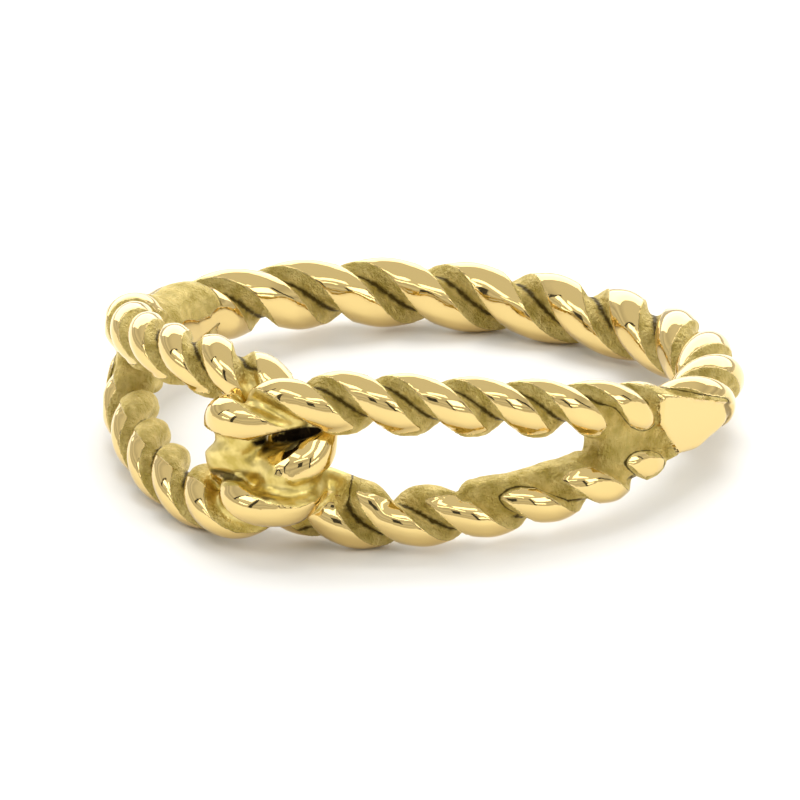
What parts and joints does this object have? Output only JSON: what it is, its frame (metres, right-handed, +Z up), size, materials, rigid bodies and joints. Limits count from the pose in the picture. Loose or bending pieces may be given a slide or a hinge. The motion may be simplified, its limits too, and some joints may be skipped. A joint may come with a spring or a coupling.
{
  "type": "braided ring",
  "caption": "Finger ring cast as a twisted rope that parts into interlocked rope loops, which pass through each other in a knot at the front.",
  "frame": {"origin": "on the table, under the middle of the lying ring's box", "axes": "+Z up as the ring lies on its side, +X to the wearer's right across the finger hole, -Y towards the knot"},
  "size_m": [0.0219, 0.0238, 0.0066],
  "materials": {
    "gold": "polished gold plating on the high spots, rough cast skin in the grooves and on the webs"
  },
  "bodies": {
    "root": {"ring": "gold"}
  },
  "joints": []
}
